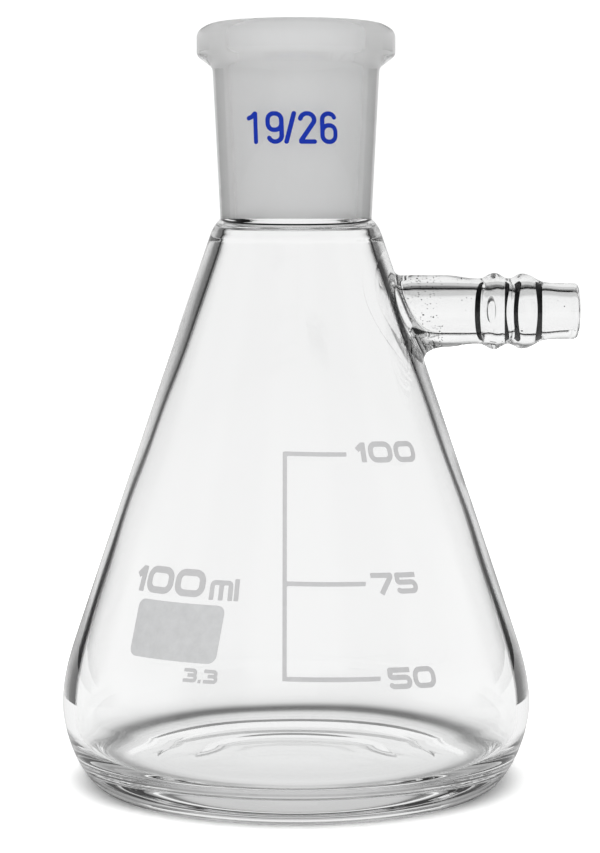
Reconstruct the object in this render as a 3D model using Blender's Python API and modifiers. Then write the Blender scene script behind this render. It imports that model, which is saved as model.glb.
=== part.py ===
"""Small filter flask: blown conical body, ground socket with a collar, hose side arm and enamel print.

Metres, +Z up. The origin is on the flask's axis, on the surface it stands on. The side arm points along +X
and the graduations face -Y.
"""

import math

import bmesh
import bpy
from mathutils import Matrix, Vector

MM = 0.001

# Driving dimensions, in millimetres.
STEPS = 72  # facets round the flask
ARM_STEPS = 36  # facets round the side arm

# Ground socket, size 19/26: an 18.8 mm mouth, 1 in 10 on diameter, at the top of the flask.
TOTAL_HEIGHT = 103.4
SOCKET_LENGTH = 26.2
MOUTH_RADIUS = 9.4
TAPER = 1 / 20
SOCKET_WALL = 2.15
RIM_ROUND = 0.35
COLLAR_OUT = 2.13  # how far the collar stands out from the tube
COLLAR_SHOULDER = 1.8  # how far its rounded top runs in
COLLAR_UPPER_SLOPE, COLLAR_BAND, COLLAR_LOWER_SLOPE = 1.1, 3.2, 1.6

# Blown body: heel, cone with a slight outward bow, and shoulder up to the socket.
BODY_RADIUS = 32.0  # widest point
WIDEST_Z = 11.3
HEEL_RISE, HEEL_SWELL = 8.7, 1.7  # from the widest point up to the straight cone, and how much it draws in
CONE_BOW = 0.08
SHOULDER_DROP, SHOULDER_STEP = 2.2, 1.4  # from the seam down and out to the cone
SHOULDER_ANGLE = 50.0  # of the wall at the seam, from upright

# Base: a narrow ring it stands on, round a shallow punt.
HEEL_INSET = 6.6  # from the widest point in to the ring
HEEL_FULLNESS = 0.3
RING_WIDTH = 1.8
PUNT_SLOPE_WIDTH, PUNT_SLOPE_RISE = 5.0, 0.35
PUNT_STEP_WIDTH, PUNT_RISE = 6.6, 0.6

# Glass thickness, measured level: thin low down, thicker near the neck and in the base.
WALL_THIN, WALL_THICK, WALL_HEEL = 1.4, 2.0, 1.75
WALL_GROWS_FROM_Z, WALL_THICK_BELOW_CONE_TOP = 34.0, 5.0
FLOOR_Z = 4.2
FLOOR_INSET = 0.7  # of the floor's edge, from the ring's outer edge
INNER_HEEL_DROP = 2.0  # from the foot of the straight cone
INNER_SHOULDER_DROP = 3.0  # from the top of the straight cone

# Side arm, along +X, measured from the wall it grows from.
ARM_DROP = 12.5  # below the seam
ARM_REACH = 23.1
ARM_ROOT_RADIUS, ARM_RADIUS = 4.9, 4.45
ARM_FULL_RUN, ARM_NARROWING = 5.1, 4.0  # from the wall to where it starts to narrow, and how far it narrows
ARM_BORE_RADIUS = 2.75
TIP_RADIUS, TIP_BORE_RADIUS, TIP_ROUND = 3.8, 2.3, 0.7
TIP_TAPERS_FROM, TIP_TAPERS_TO = 8.0, 3.0  # distances from the tip
# Each barb: distance of its crest from the tip, crest radius, length to the tip side and to the flask side.
OLIVES = ((7.65, 5.1, 3.0, 1.8), (11.35, 5.2, 1.9, 2.1))
FOOT_FLARE, FOOT_FILLET = 1.3, 2.4  # of the fused foot: its spread on the wall and its height

# Enamel print on the cone, facing -Y.
ENAMEL_GAP, ENAMEL_THICKNESS = 0.1, 0.15
LINE_X, LINE_WIDTH = -1.4, 0.55
MARK_TILT = 1.4  # degrees, falling away from the line
MARKS = ((47.2, 6.5), (31.2, 8.9), (19.7, 10.7))  # height, end of the mark in X
SPOT_WIDTH, SPOT_HEIGHT, SPOT_CORNER = 13.5, 7.5, 1.1
SPOT_AZIMUTH, SPOT_Z = -32.8, 24.7

FUSE_GAP = 0.3  # left between the arm's foot and the wall it is fused to

# What follows from them.
SEAM_Z = TOTAL_HEIGHT - SOCKET_LENGTH
SEAM_BORE = MOUTH_RADIUS - TAPER * SOCKET_LENGTH
SEAM_RADIUS = SEAM_BORE + SOCKET_WALL
CONE_HIGH_Z, CONE_HIGH_RADIUS = SEAM_Z - SHOULDER_DROP, SEAM_RADIUS + SHOULDER_STEP
CONE_LOW_Z, CONE_LOW_RADIUS = WIDEST_Z + HEEL_RISE, BODY_RADIUS - HEEL_SWELL
RING_RADIUS = BODY_RADIUS - HEEL_INSET
INNER_HEEL_Z = CONE_LOW_Z - INNER_HEEL_DROP
INNER_SHOULDER_Z = CONE_HIGH_Z - INNER_SHOULDER_DROP
ARM_Z = SEAM_Z - ARM_DROP
ARM_NARROWS_FROM = ARM_REACH - ARM_FULL_RUN  # distances from the tip
ARM_NARROWS_TO = ARM_NARROWS_FROM - ARM_NARROWING


def bezier(start, pull_start, pull_end, end, count):
    """Points of a cubic curve, both ends included."""
    points = []
    for i in range(count + 1):
        t = i / count
        a, b, c, d = (1 - t) ** 3, 3 * t * (1 - t) ** 2, 3 * t * t * (1 - t), t**3
        points.append(
            tuple(
                a * p + b * q + c * r + d * s
                for p, q, r, s in zip(start, pull_start, pull_end, end)
            )
        )
    return points


def blend(start, start_way, end, end_way, count, pull=1 / 3):
    """A smooth run of points that leaves start and reaches end along the two given directions."""
    reach = pull * math.dist(start, end)
    (ax, az), (bx, bz) = start_way, end_way
    a, b = reach / math.hypot(ax, az), reach / math.hypot(bx, bz)
    near = (start[0] + a * ax, start[1] + a * az)
    far = (end[0] - b * bx, end[1] - b * bz)
    return bezier(start, near, far, end, count)


def smooth_step(low, high, value):
    t = min(max((value - low) / (high - low), 0.0), 1.0)
    return t * t * (3 - 2 * t)


def cone_radius(z):
    t = (z - CONE_LOW_Z) / (CONE_HIGH_Z - CONE_LOW_Z)
    return CONE_LOW_RADIUS + (CONE_HIGH_RADIUS - CONE_LOW_RADIUS) * t + 4 * CONE_BOW * t * (1 - t)


def wall(z):
    upper = smooth_step(WALL_GROWS_FROM_Z, CONE_HIGH_Z - WALL_THICK_BELOW_CONE_TOP, z)
    lower = smooth_step(CONE_LOW_Z + 2 * INNER_HEEL_DROP, INNER_HEEL_Z, z)
    return WALL_THIN + (WALL_THICK - WALL_THIN) * upper + (WALL_HEEL - WALL_THIN) * lower


def inner_radius(z):
    return cone_radius(z) - wall(z)


def way_down(radius, z):
    """The direction of a wall at a height, downwards."""
    return (radius(z - 0.5) - radius(z + 0.5), -1.0)


def way_up(radius, z):
    return (radius(z + 0.5) - radius(z - 0.5), 1.0)


def levels(high, low, count):
    return [high + (low - high) * i / count for i in range(count + 1)]


def bore_radius(z):
    return MOUTH_RADIUS - TAPER * (TOTAL_HEIGHT - z)


def body_outside():
    """(radius, z) down the outside, from the seam to the middle of the base."""
    lean = math.radians(SHOULDER_ANGLE)
    cone_top, cone_foot = (CONE_HIGH_RADIUS, CONE_HIGH_Z), (CONE_LOW_RADIUS, CONE_LOW_Z)
    points = blend(
        (SEAM_RADIUS, SEAM_Z), (math.sin(lean), -math.cos(lean)),
        cone_top, way_down(cone_radius, CONE_HIGH_Z), 5,
    )
    points += [(cone_radius(z), z) for z in levels(CONE_HIGH_Z, CONE_LOW_Z, 9)[1:]]
    points += blend(
        cone_foot, way_down(cone_radius, CONE_LOW_Z), (BODY_RADIUS, WIDEST_Z), (0, -1), 5
    )[1:]
    points += blend((BODY_RADIUS, WIDEST_Z), (0, -1), (RING_RADIUS, 0.0), (-1, 0), 8, pull=HEEL_FULLNESS)[1:]
    inner_edge = RING_RADIUS - RING_WIDTH
    punt_slope = inner_edge - PUNT_SLOPE_WIDTH
    points += [
        (inner_edge, 0.0),
        (punt_slope, PUNT_SLOPE_RISE),
        (punt_slope - PUNT_STEP_WIDTH, PUNT_RISE),
        (0.0, PUNT_RISE),
    ]
    return points


def body_inside():
    """(radius, z) up the inside, from the middle of the floor to the seam."""
    side = (BODY_RADIUS - WALL_HEEL, WIDEST_Z)
    points = [(0.0, FLOOR_Z)]
    points += blend((RING_RADIUS - FLOOR_INSET, FLOOR_Z), (1, 0), side, (0, 1), 8, pull=0.45)
    points += blend(
        side, (0, 1), (inner_radius(INNER_HEEL_Z), INNER_HEEL_Z), way_up(inner_radius, INNER_HEEL_Z), 3
    )[1:]
    points += [(inner_radius(z), z) for z in levels(INNER_HEEL_Z, INNER_SHOULDER_Z, 8)[1:]]
    points += blend(
        points[-1], way_up(inner_radius, INNER_SHOULDER_Z), (SEAM_BORE, SEAM_Z), (TAPER, 1), 4
    )[1:]
    return points


def socket_profile():
    """(radius, z) up the bore and down the outside, closed across the seam."""
    collar_high = TOTAL_HEIGHT - COLLAR_UPPER_SLOPE
    collar_low = collar_high - COLLAR_BAND
    tube_top = collar_low - COLLAR_LOWER_SLOPE
    tube_radius = bore_radius(tube_top) + SOCKET_WALL
    collar = tube_radius + COLLAR_OUT
    return [
        (SEAM_BORE, SEAM_Z),
        (bore_radius(TOTAL_HEIGHT - RIM_ROUND), TOTAL_HEIGHT - RIM_ROUND),
        (MOUTH_RADIUS + RIM_ROUND, TOTAL_HEIGHT),
        *blend((collar - COLLAR_SHOULDER, TOTAL_HEIGHT), (1, 0), (collar, collar_high), (0, -1), 4),
        (collar, collar_low),
        (tube_radius, tube_top),
        (SEAM_RADIUS, SEAM_Z),
    ]


def arm_radius(back):
    """The side arm's outer radius at a distance back from its tip."""
    root = smooth_step(ARM_NARROWS_TO, ARM_NARROWS_FROM, back)
    tip = 1 - smooth_step(TIP_TAPERS_TO, TIP_TAPERS_FROM, back)
    plain = ARM_RADIUS + (ARM_ROOT_RADIUS - ARM_RADIUS) * root + (TIP_RADIUS - ARM_RADIUS) * tip
    radius = plain
    for centre, crest, tip_side, flask_side in OLIVES:
        share = (back - centre) / (flask_side if back > centre else tip_side)
        if abs(share) < 1:
            radius += (crest - plain) * (0.5 + 0.5 * math.cos(math.pi * share))
    return radius


def arm_profile():
    """(radius, distance from the flask's axis) of the solid arm, from the middle of its tip to its root."""
    tip = cone_radius(ARM_Z) + ARM_REACH
    root = cone_radius(ARM_Z + ARM_ROOT_RADIUS) - WALL_THICK
    stations = {TIP_ROUND, TIP_TAPERS_TO, ARM_NARROWS_FROM}
    for centre, _, tip_side, flask_side in OLIVES:
        stations |= set(levels(centre - tip_side, centre, 5)) | set(levels(centre, centre + flask_side, 5))
    stations |= set(levels(ARM_NARROWS_TO, ARM_NARROWS_FROM, 4))
    end_radius = arm_radius(TIP_ROUND)
    return [
        (0.0, tip),
        *blend((end_radius - TIP_ROUND, tip), (1, 0), (end_radius, tip - TIP_ROUND), (0, -1), 3)[:-1],
        *[(arm_radius(back), tip - back) for back in sorted(stations)],
        (ARM_ROOT_RADIUS, root),
        (0.0, root),
    ]


def arm_bore_profile():
    """(radius, distance from the flask's axis) of the arm's bore, past both ends."""
    tip = cone_radius(ARM_Z) + ARM_REACH
    return [
        (0.0, tip + TIP_ROUND),
        (TIP_BORE_RADIUS, tip + TIP_ROUND),
        (TIP_BORE_RADIUS, tip - TIP_TAPERS_TO),
        (ARM_BORE_RADIUS, tip - TIP_TAPERS_FROM),
        (ARM_BORE_RADIUS, 0.0),
        (0.0, 0.0),
    ]


def foot_profile():
    """(radius, height above the wall) of the fused foot, from its top down into the wall."""
    spread = ARM_ROOT_RADIUS + FOOT_FLARE
    return [
        (0.0, FOOT_FILLET),
        *blend((ARM_ROOT_RADIUS, FOOT_FILLET), (0, -1), (spread, 0.0), (1, -1), 5),
        (spread, -2 * WALL_THICK),
        (0.0, -2 * WALL_THICK),
    ]


def enamel_profile(high, low):
    """A thin skin that follows the cone from one height down to another."""
    heights = levels(high, low, 6)
    inner = [(cone_radius(z) + ENAMEL_GAP, z) for z in reversed(heights)]
    outer = [(r + ENAMEL_THICKNESS, z) for r, z in reversed(inner)]
    return inner + outer


def object_of(name, mesh, collection):
    made = bpy.data.objects.new(name, mesh)
    collection.objects.link(made)
    return made


def turned(name, profile, collection, closed, steps=STEPS):
    """The profile screwed a full turn about Z; profile radii lie along +X."""
    mesh = bpy.data.meshes.new(name)
    shape = bmesh.new()
    points = [shape.verts.new((r * MM, 0, z * MM)) for r, z in profile]
    for a, b in zip(points, points[1:]):
        shape.edges.new((a, b))
    if closed:
        shape.edges.new((points[-1], points[0]))
    shape.to_mesh(mesh)
    shape.free()
    made = object_of(name, mesh, collection)
    screw = made.modifiers.new("Screw", "SCREW")
    screw.steps = screw.render_steps = steps
    screw.use_merge_vertices = True
    screw.merge_threshold = 0.00001
    screw.use_smooth_shade = True
    return made


def skewed(made, matrix):
    """The turned shape as a plain mesh, put through a matrix that leans it over without turning it."""
    graph = bpy.context.evaluated_depsgraph_get()
    mesh = bpy.data.meshes.new_from_object(made.evaluated_get(graph))
    mesh.transform(matrix)
    made.modifiers.clear()
    made.data = mesh


def flat_outline(name, outline, half_depth, collection):
    """A flat closed outline in its own XY plane, filled and given a depth both ways, as a closed mesh."""
    curve = bpy.data.curves.new(name, "CURVE")
    curve.dimensions = "2D"
    curve.fill_mode = "BOTH"
    curve.extrude = half_depth * MM
    spline = curve.splines.new("POLY")
    spline.points.add(len(outline) - 1)
    for point, (x, y) in zip(spline.points, outline):
        point.co = (x * MM, y * MM, 0, 1)
    spline.use_cyclic_u = True
    guide = object_of(name + "_curve", curve, collection)
    graph = bpy.context.evaluated_depsgraph_get()
    mesh = bpy.data.meshes.new_from_object(guide.evaluated_get(graph))
    shape = bmesh.new()
    shape.from_mesh(mesh)
    bmesh.ops.remove_doubles(shape, verts=shape.verts, dist=1e-7)
    bmesh.ops.recalc_face_normals(shape, faces=shape.faces)
    shape.to_mesh(mesh)
    shape.free()
    bpy.data.objects.remove(guide)
    return object_of(name, mesh, collection)


def comb_outline():
    """The scale line with a mark to the right at each height, counter-clockwise."""
    half = LINE_WIDTH / 2
    heights = [z for z, _ in MARKS]
    low, high = min(heights) - half, max(heights) + half
    points = [(LINE_X - half, high), (LINE_X - half, low)]
    for z, end in sorted(MARKS):
        if z - half > low:
            points.append((LINE_X + half, z - half))
        fall = (end - LINE_X) * math.tan(math.radians(MARK_TILT))
        points += [(end, z - half - fall), (end, z + half - fall)]
        if z + half < high:
            points.append((LINE_X + half, z + half))
    return points


def rounded_rectangle(width, height, corner, count=6):
    points = []
    for quarter, (sx, sy) in enumerate(((1, 1), (-1, 1), (-1, -1), (1, -1))):
        for i in range(count + 1):
            turn = math.radians(90 * (quarter + i / count))
            x = sx * (width / 2 - corner) + corner * math.cos(turn)
            y = sy * (height / 2 - corner) + corner * math.sin(turn)
            points.append((x, y))
    return points


def boolean(target, cutter, operation):
    modifier = target.modifiers.new(operation.capitalize(), "BOOLEAN")
    modifier.operation = operation
    modifier.solver = "EXACT"
    modifier.object = cutter


def as_cutter(cutter):
    cutter.hide_render = True
    cutter.display_type = "WIRE"
    return cutter


def material(name, colour, roughness, transmission):
    made = bpy.data.materials.new(name)
    made.use_nodes = True
    shader = made.node_tree.nodes["Principled BSDF"]
    shader.inputs["Base Color"].default_value = (*colour, 1)
    shader.inputs["Roughness"].default_value = roughness
    shader.inputs["Metallic"].default_value = 0
    shader.inputs["Transmission Weight"].default_value = transmission
    shader.inputs["IOR"].default_value = 1.47
    made.diffuse_color = (*colour, 1)
    return made


def main():
    for old in list(bpy.data.objects):
        bpy.data.objects.remove(old, do_unlink=True)
    scene = bpy.context.scene
    parts = bpy.data.collections.new("buchner_flask")
    cutters = bpy.data.collections.new("cutters")
    scene.collection.children.link(parts)
    scene.collection.children.link(cutters)

    body = turned("flask_body", body_inside() + body_outside(), parts, closed=False)
    socket = turned("ground_socket", socket_profile(), parts, closed=True)

    # The side arm is turned about its own axis. Its foot leans with the sloping wall it is fused to.
    arm = turned("side_arm", arm_profile(), parts, closed=False, steps=ARM_STEPS)
    foot = turned("arm_foot", foot_profile(), cutters, closed=False, steps=ARM_STEPS)
    bore = turned("arm_bore", arm_bore_profile(), cutters, closed=False, steps=ARM_STEPS)
    along_x = (0, math.pi / 2, 0)
    lean = Matrix.Identity(4)
    lean[2][0] = -way_up(cone_radius, ARM_Z)[0]
    skewed(foot, lean)
    foot_x = cone_radius(ARM_Z)
    for piece, x in ((arm, 0.0), (foot, foot_x), (bore, 0.0)):
        piece.location = (x * MM, 0, ARM_Z * MM)
        piece.rotation_euler = along_x
    top, bottom = CONE_HIGH_Z, ARM_Z - 3 * ARM_ROOT_RADIUS
    wall_side = [(0.0, top)]
    wall_side += [(cone_radius(z) + FUSE_GAP, z) for z in levels(top, bottom, 6)]
    wall_side += [(0.0, bottom)]
    seat = turned("foot_seat", wall_side, cutters, closed=False)
    boolean(arm, as_cutter(foot), "UNION")
    boolean(arm, as_cutter(seat), "DIFFERENCE")
    boolean(arm, as_cutter(bore), "DIFFERENCE")

    # The same bore goes on through the flask's wall.
    port_profile = [(0.0, 2 * WALL_THICK), (ARM_BORE_RADIUS, 2 * WALL_THICK)]
    port_profile += [(radius, -height) for radius, height in reversed(port_profile)]
    port = turned("arm_port", port_profile, cutters, closed=False, steps=ARM_STEPS)
    port.location = (inner_radius(ARM_Z) * MM, 0, ARM_Z * MM)
    port.rotation_euler = along_x
    boolean(body, as_cutter(port), "DIFFERENCE")

    # Enamel print: skins that follow the cone, each kept only inside its outline.
    heights = [z for z, _ in MARKS]
    skin = enamel_profile(max(heights) + 2 * LINE_WIDTH, min(heights) - 2 * LINE_WIDTH)
    scale = turned("graduation_scale", skin, parts, closed=True)
    comb = as_cutter(flat_outline("scale_outline", comb_outline(), BODY_RADIUS / 2, cutters))
    comb.rotation_euler = (math.pi / 2, 0, 0)
    comb.location = (0, -BODY_RADIUS * MM, 0)
    boolean(scale, comb, "INTERSECT")

    skin = enamel_profile(SPOT_Z + SPOT_HEIGHT, SPOT_Z - SPOT_HEIGHT)
    spot = turned("marking_spot", skin, parts, closed=True)
    outline = rounded_rectangle(SPOT_WIDTH, SPOT_HEIGHT, SPOT_CORNER)
    patch = as_cutter(flat_outline("spot_outline", outline, SPOT_WIDTH / 3, cutters))
    across, up = way_up(cone_radius, SPOT_Z)
    turn = Matrix.Rotation(math.radians(SPOT_AZIMUTH), 4, "Z")
    centre = turn @ Vector((0, -cone_radius(SPOT_Z) * MM, SPOT_Z * MM))
    tilt = Matrix.Rotation(math.pi / 2 - math.atan2(-across, up), 4, "X")
    patch.matrix_world = Matrix.Translation(centre) @ turn @ tilt
    boolean(spot, patch, "INTERSECT")

    glass = material("borosilicate_glass", (0.95, 0.97, 0.97), 0.02, 1.0)
    ground = material("ground_glass", (0.86, 0.88, 0.88), 0.45, 1.0)
    arm_glass = material("arm_glass", (0.95, 0.97, 0.97), 0.02, 1.0)
    enamel = material("grey_enamel", (0.62, 0.63, 0.64), 0.5, 0.0)
    spot_enamel = material("spot_enamel", (0.6, 0.61, 0.62), 0.55, 0.0)
    for made, look in (
        (body, glass), (socket, ground), (arm, arm_glass), (scale, enamel), (spot, spot_enamel),
    ):
        made.data.materials.append(look)


main()
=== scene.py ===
"""Looks of a small filter flask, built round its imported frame: clear blown body, ground socket, hose side
arm, enamel print. Lengths are named in millimetres here; everything in Blender is in metres."""

import math

import bmesh
import bpy
import numpy as np
from mathutils import Matrix, Vector


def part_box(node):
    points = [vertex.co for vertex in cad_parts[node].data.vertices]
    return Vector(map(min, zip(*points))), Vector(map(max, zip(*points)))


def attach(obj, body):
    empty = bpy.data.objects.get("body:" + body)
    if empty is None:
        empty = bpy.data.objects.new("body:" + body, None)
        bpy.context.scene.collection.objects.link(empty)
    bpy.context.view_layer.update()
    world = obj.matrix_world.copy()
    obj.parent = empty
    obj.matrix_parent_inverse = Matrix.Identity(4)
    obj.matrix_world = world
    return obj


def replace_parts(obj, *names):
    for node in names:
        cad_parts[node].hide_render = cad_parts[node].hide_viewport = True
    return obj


MM = 0.001
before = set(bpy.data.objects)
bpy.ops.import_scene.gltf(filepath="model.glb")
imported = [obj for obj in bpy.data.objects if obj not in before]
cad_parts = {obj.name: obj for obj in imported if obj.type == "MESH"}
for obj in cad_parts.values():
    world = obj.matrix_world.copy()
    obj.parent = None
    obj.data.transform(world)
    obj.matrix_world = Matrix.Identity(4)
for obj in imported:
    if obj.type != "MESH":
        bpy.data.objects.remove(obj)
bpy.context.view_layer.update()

# Sizes taken from the frame.
body_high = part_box("flask_body")[1] / MM
socket_low, socket_high = (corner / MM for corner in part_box("ground_socket"))
arm_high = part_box("side_arm")[1] / MM
TOTAL_HEIGHT, SEAM_Z = socket_high.z, socket_low.z
BODY_RADIUS, COLLAR_RADIUS = body_high.x, socket_high.x
TIP_X = arm_high.x

# Sizes that the frame's boxes don't give.
MOUTH_RADIUS, TAPER, SOCKET_WALL = 9.4, 1 / 20, 2.15
COLLAR_SHOULDER, COLLAR_UPPER_SLOPE, COLLAR_BAND, COLLAR_LOWER_SLOPE = 1.8, 1.1, 3.2, 1.6
COLLAR_BLEND, MOUTH_CHAMFER, MOUTH_EDGE = 0.8, 0.35, 0.3
COLLAR_ROUNDING = [0.5, 0.55, 0.9, 1.0, 0.2]  # from the tube to the mouth
WIDEST_Z, HEEL_RISE, HEEL_SWELL, CONE_BOW = 11.3, 8.7, 1.7, 0.08
SHOULDER_DROP, SHOULDER_STEP, SHOULDER_ANGLE = 2.2, 1.4, 50.0
HEEL_INSET, HEEL_FULLNESS, RING_WIDTH = 6.6, 0.3, 1.8
PUNT_STEPS = ((1.2, 0.16), (4.3, 0.24), (4.7, 0.29))  # inset from the ring's inner edge, height
PUNT_DISC = ((14.0, 0.36), (12.0, 0.5), (0.0, 0.6))  # radius, height
PUNT_ROUNDING = [0.4, 0.4, 0.4, 0.15, 0.15, 1.0, 1.0]  # at the punt's corners, from the ring inwards

# Glass thickness, measured level, and the turns that only the inside has.
WALL_THIN, WALL_THICK, WALL_HEEL = 1.4, 2.0, 1.75
WALL_GROWS_FROM_Z, WALL_THICK_BELOW_CONE_TOP = 34.0, 5.0
HEEL_THICKENS_FROM_Z, HEEL_THICK_BELOW_Z = 38.0, 14.0
FLOOR_Z, FLOOR_INSET, FLOOR_FULLNESS = 4.2, 0.7, 0.45
INNER_SHOULDER_DROP = 3.6  # below the seam
# The neck's inside, upwards: radius beyond the bore at the seam, depth below the seam. There is a bead where
# the socket was fused on, and a groove above it. The last point only sets the direction.
NECK = (
    (1.95, 2.9), (1.74, 2.3), (1.5, 1.75), (1.1, 1.5), (0.9, 1.2), (0.98, 0.8),
    (1.05, 0.5), (1.0, 0.2), (0.6, 0.06), (0.0, 0.0), (-0.2, -0.3),
)
HEEL_LINE = 12.6  # height up to which the inside belongs to the heel
NECK_LINE = 1.75  # depth below the seam from which the inside belongs to the wall
# Painted shade: the bead's band and the groove's upper side get the near-black glass.
BEAD_LINE_LOW, BEAD_LINE_HIGH = 1.3, 1.1  # depths below the seam between which the bead is dark
SEAM_LINE = 0.13  # depth below the seam down to which the groove's upper side is dark
WAVE_HEIGHT = 0.06
WAVES_FROM_Z, WAVES_FULL_Z, WAVES_FADE_Z, WAVES_END_Z = 5.0, 16.0, 60.0, 72.0

# Side arm. Distances back are from its tip.
ARM_DROP, ARM_ROOT_RADIUS, ARM_RADIUS = 12.5, 4.9, 4.45
ARM_NARROWS_FROM, ARM_NARROWS_TO = 18.0, 14.0  # distances back
ARM_BORE_RADIUS, TIP_RADIUS, TIP_BORE_RADIUS, TIP_ROUND = 2.95, 3.8, 2.6, 0.7
TIP_TAPERS_FROM, TIP_TAPERS_TO = 8.0, 3.0  # distances back
LIP_DEPTH = 0.9  # distance back of the end of the rounding inside the tip
# Each barb: distance back of its crest, crest radius, length towards the tip and towards the flask.
OLIVES = ((7.65, 5.1, 3.0, 1.8), (11.35, 5.2, 1.9, 2.1))
OLIVE_BORE, NECK_BORE = ARM_BORE_RADIUS + 0.12, ARM_BORE_RADIUS - 0.2  # inside a barb, and between the two
# Each step in the bore: distance back of its two ends, how far each is shifted at the sides, the power
# that shapes the shift, radius towards the tip and towards the flask.
BORE_STEPS = (
    (5.3, 6.4, 0.0, -0.35, 2, ARM_BORE_RADIUS - 0.12, OLIVE_BORE),
    (7.45, 8.15, 0.65, 0.65, 2, OLIVE_BORE, NECK_BORE),
    (9.4, 10.5, 0.85, 0.05, 2, NECK_BORE, OLIVE_BORE),
    (12.3, 13.1, 1.2, 1.15, 0.6, OLIVE_BORE, ARM_BORE_RADIUS),
)
FOOT_FLARE, FOOT_FLARE_BELOW = 0.7, 1.3  # of the fused foot on the wall; the second is added under the arm
FOOT_HEIGHT, FOOT_HEIGHT_BELOW = 2.0, 1.6  # of the foot off the wall, likewise
FOOT_ENDS_BACK, FOOT_FULLNESS, LIP_FULLNESS = 17.8, 0.42, 0.4  # the last is also for the port
OUTSIDE_RUNS = ((16.5, 6), (13.6, 9), (4.2, 76), (TIP_ROUND, 8))  # distance back, points from the run before
PORT_FLARE, PORT_LENGTH = 0.7, 3.0  # of the bore where it opens into the body
PLUG_RADIUS = 7.8  # round the arm's axis, the part of the wall that goes with the arm
PLUG_ENDS = (6.0, 24.0)  # in X, clear of the wall on both sides
BUBBLES, FOOT_BUBBLES = 150, 135  # in all, and those in the foot
FOOT_SPREAD = ((14.6, 19.8), (3.1, 4.6))  # in X, and off the arm's axis
TUBE_SPREAD = ((20.0, TIP_X - 2.0), (3.1, 3.5))
BUBBLE_SIZES, BUBBLE_STRETCH = (0.03, 0.085), (1.0, 1.9)

SEAM_BORE = MOUTH_RADIUS - TAPER * (TOTAL_HEIGHT - SEAM_Z)
SEAM_RADIUS = SEAM_BORE + SOCKET_WALL
CONE_HIGH_Z, CONE_HIGH_RADIUS = SEAM_Z - SHOULDER_DROP, SEAM_RADIUS + SHOULDER_STEP
CONE_LOW_Z, CONE_LOW_RADIUS = WIDEST_Z + HEEL_RISE, BODY_RADIUS - HEEL_SWELL
RING_RADIUS = BODY_RADIUS - HEEL_INSET
ARM_Z = SEAM_Z - ARM_DROP

STEPS, ARM_STEPS = 256, 144
IOR = 1.47
# The fourth index is near-black glass that paints shade.
CLEAR, INNER, CAP, PAINTED_DARK, HEEL = 0, 1, 2, 3, 4  # material indices on the glass pieces

# Painted shade: the inside of the wall is darkened where it is skimmed, by height. Each row: height, base
# colour over the facing value seen from the air, transmission past the angle where total reflection starts,
# seen from within.
WALL_EDGE_SHADE = (
    (
        16, ((0.86, 0.993), (0.9, 0.3), (0.92, 0.001)),
        ((0.0, 0.0), (0.018, 0.0), (0.02, 0.2), (0.027, 0.3), (0.031, 0.55), (0.038, 0.8), (0.047, 1.0)),
    ),
    (
        27, ((0.86, 0.993), (0.9, 0.3), (0.92, 0.001)),
        ((0.0, 0.0), (0.01, 0.0), (0.0125, 0.5), (0.018, 0.85), (0.033, 0.97), (0.05, 1.0)),
    ),
    (
        46, ((0.85, 0.993), (0.89, 0.3), (0.91, 0.001)),
        ((0.0, 0.0), (0.01, 0.0), (0.013, 0.72), (0.024, 0.82), (0.038, 0.93), (0.06, 1.0)),
    ),
    (
        66, ((0.79, 0.993), (0.84, 0.3), (0.865, 0.001)),
        (
            (0.0, 0.0), (0.014, 0.0), (0.018, 0.33), (0.035, 0.36), (0.055, 0.44), (0.075, 0.58), (0.1, 0.78),
            (0.13, 1.0),
        ),
    ),
)
# The same painted shade for the inside of the side arm.
ARM_EDGE_SHADE = ((
    0, ((0.8, 0.993), (0.86, 0.3), (0.9, 0.001)),
    ((0.0, 0.0), (0.03, 0.0), (0.045, 0.5), (0.07, 0.85), (0.12, 1.0)),
),)

# Print. Heights are along Z; azimuths are in degrees from -Y, positive towards the side arm.
LINE_X, LINE_WIDTH = -1.4, 0.55
MARK_TILT = math.radians(1.4)
MARKS = ((47.2, 6.5), (31.2, 8.9), (19.7, 10.7))  # height, end of the mark in X
SPOT_WIDTH, SPOT_HEIGHT, SPOT_CORNER = 13.5, 7.5, 1.1
SPOT_AZIMUTH, SPOT_Z = -32.8, 24.7
PRINT_LIFT, PRINT_THICKNESS = 0.02, 0.05
TEXT_CELL, SCALE_CELL, SPOT_CELL = 0.1, 0.18, 0.25  # of the grid that each print is cut from
EDGE_CLEARANCE = 0.004  # no corner of the grid lies nearer the print's outline than this
NUMERAL_TILT = 0.05  # fall per millimetre to the right
NUMERALS = (
    # name, text, height up the slope, from and to azimuth, height of its foot, tilt, gap, stroke, slot
    ("numeral_100", "100", 2.75, 20.8, 47.3, 46.0, NUMERAL_TILT, 0.1, 0.26, "scale_enamel"),
    ("numeral_75", "75", 2.75, 21.1, 35.7, 29.65, NUMERAL_TILT, 0.12, 0.24, "scale_enamel"),
    ("numeral_50", "50", 2.75, 22.4, 35.7, 18.05, NUMERAL_TILT, 0.1, 0.24, "scale_enamel"),
    ("volume_digits", "100", 3.55, -50.8, -24.8, 29.1, 0.0, 0.07, 0.25, "spot_enamel"),
    ("volume_unit", "ml", 2.85, -23.9, -15.3, 28.9, 0.0, 0.1, 0.22, "spot_enamel"),
    ("glass_type_digits", "3.3", 1.74, -27.9, -18.9, 18.8, 0.0, 0.12, 0.26, "spot_enamel"),
)
JOINT_AZIMUTH, JOINT_Z = -36.0, 87.0
JOINT_SIZE = (4.2, 12.5, 0.14)  # height, width, stroke as a share of the height

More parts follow.
